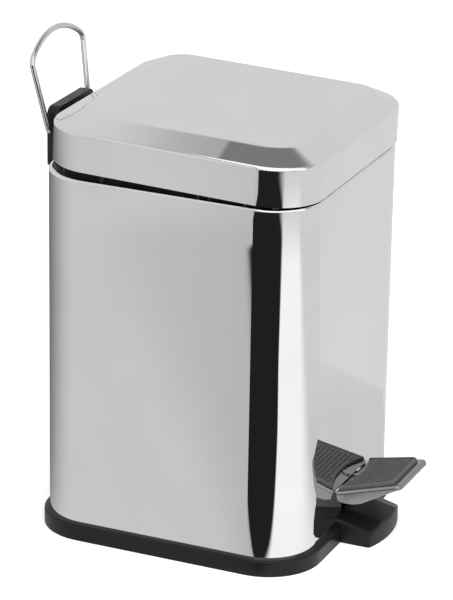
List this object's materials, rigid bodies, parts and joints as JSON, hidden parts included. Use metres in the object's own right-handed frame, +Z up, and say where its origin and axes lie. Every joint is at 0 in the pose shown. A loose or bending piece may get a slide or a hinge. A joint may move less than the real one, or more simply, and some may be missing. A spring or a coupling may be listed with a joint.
{
  "type": "pedal trash can",
  "caption": "Square steel pedal bin with a foot pedal, push rod, hinged lid, swinging carry handle and a lift-out inner bucket with a bail.",
  "frame": {"origin": "on the floor, under the middle of the square body, on the underside of the base tray", "axes": "+Z up; -Y towards the front, where the pedal is; +Y towards the hinge and carry handle; +X to the right seen from the front"},
  "size_m": [0.1976, 0.2729, 0.3304],
  "materials": {
    "body_steel": "polished stainless sheet, faintly brushed",
    "lid_steel": "polished stainless pressing, faintly brushed",
    "base_plastic": "satin dark moulding",
    "collar_plastic": "glossy black moulding",
    "bracket_plastic": "satin black moulding",
    "guide_plastic": "satin black moulding",
    "plated_steel": "zinc-plated",
    "rod_steel": "drawn wire, zinc-plated",
    "pedal_steel": "satin stainless sheet",
    "pad_rubber": "black rubber with a raised tread",
    "buffer_rubber": "soft black rubber",
    "handle_steel": "polished stainless wire",
    "bucket_plastic": "satin black moulding",
    "bail_steel": "zinc-plated wire",
    "grip_plastic": "satin black tube"
  },
  "bodies": {
    "bin": {"body_shell": "body_steel", "base_tray": "base_plastic", "top_collar": "collar_plastic", "hinge_bracket": "bracket_plastic", "backing_plate": "plated_steel", "bracket_screws": "plated_steel", "hinge_pin": "plated_steel", "rod_guide": "guide_plastic", "guide_screw": "plated_steel", "pivot_bracket": "plated_steel", "pivot_bracket_screws": "plated_steel", "pivot_pin": "plated_steel", "pin_clips": "plated_steel"},
    "lid": {"lid_shell": "lid_steel", "hinge_leaf": "plated_steel", "leaf_rivets": "plated_steel", "lid_buffers": "buffer_rubber"},
    "pedal": {"pedal_plate": "pedal_steel", "pedal_pad": "pad_rubber", "pedal_lever": "plated_steel", "pedal_rivets": "plated_steel"},
    "rod": {"push_rod": "rod_steel", "rod_clips": "plated_steel"},
    "handle": {"carry_handle": "handle_steel"},
    "bucket": {"inner_bucket": "bucket_plastic"},
    "bail": {"bucket_bail": "bail_steel", "bail_grip": "grip_plastic"}
  },
  "joints": [
    {"name": "lid_open", "type": "hinge", "parent": "bin", "child": "lid", "pos_m": [0, 0.102, 0.268], "axis": [-1, 0, 0], "range_deg": [0, 60]},
    {"name": "pedal_press", "type": "hinge", "parent": "bin", "child": "pedal", "pos_m": [0, -0.015, 0.022], "axis": [1, 0, 0], "range_deg": [0, 9.8]},
    {"name": "rod_lift", "type": "slide", "parent": "bin", "child": "rod", "axis": [0, 0, 1], "range_m": [0, 0.0174]},
    {"name": "handle_swing", "type": "hinge", "parent": "bin", "child": "handle", "pos_m": [0, 0.1162, 0.2645], "axis": [-1, 0, 0], "range_deg": [0, 170]},
    {"name": "bucket_lift", "type": "slide", "parent": "bin", "child": "bucket", "axis": [0, 0, 1], "range_m": [0, 0.02]},
    {"name": "bail_swing", "type": "hinge", "parent": "bucket", "child": "bail", "pos_m": [0, -0.008, 0.251], "axis": [1, 0, 0], "range_deg": [-80, 80]}
  ],
  "couplings": [
    {"joint": "pedal_press", "follows": "lid_open", "ratio": 0.16177},
    {"joint": "rod_lift", "follows": "lid_open", "m_per_rad": 0.01654}
  ]
}
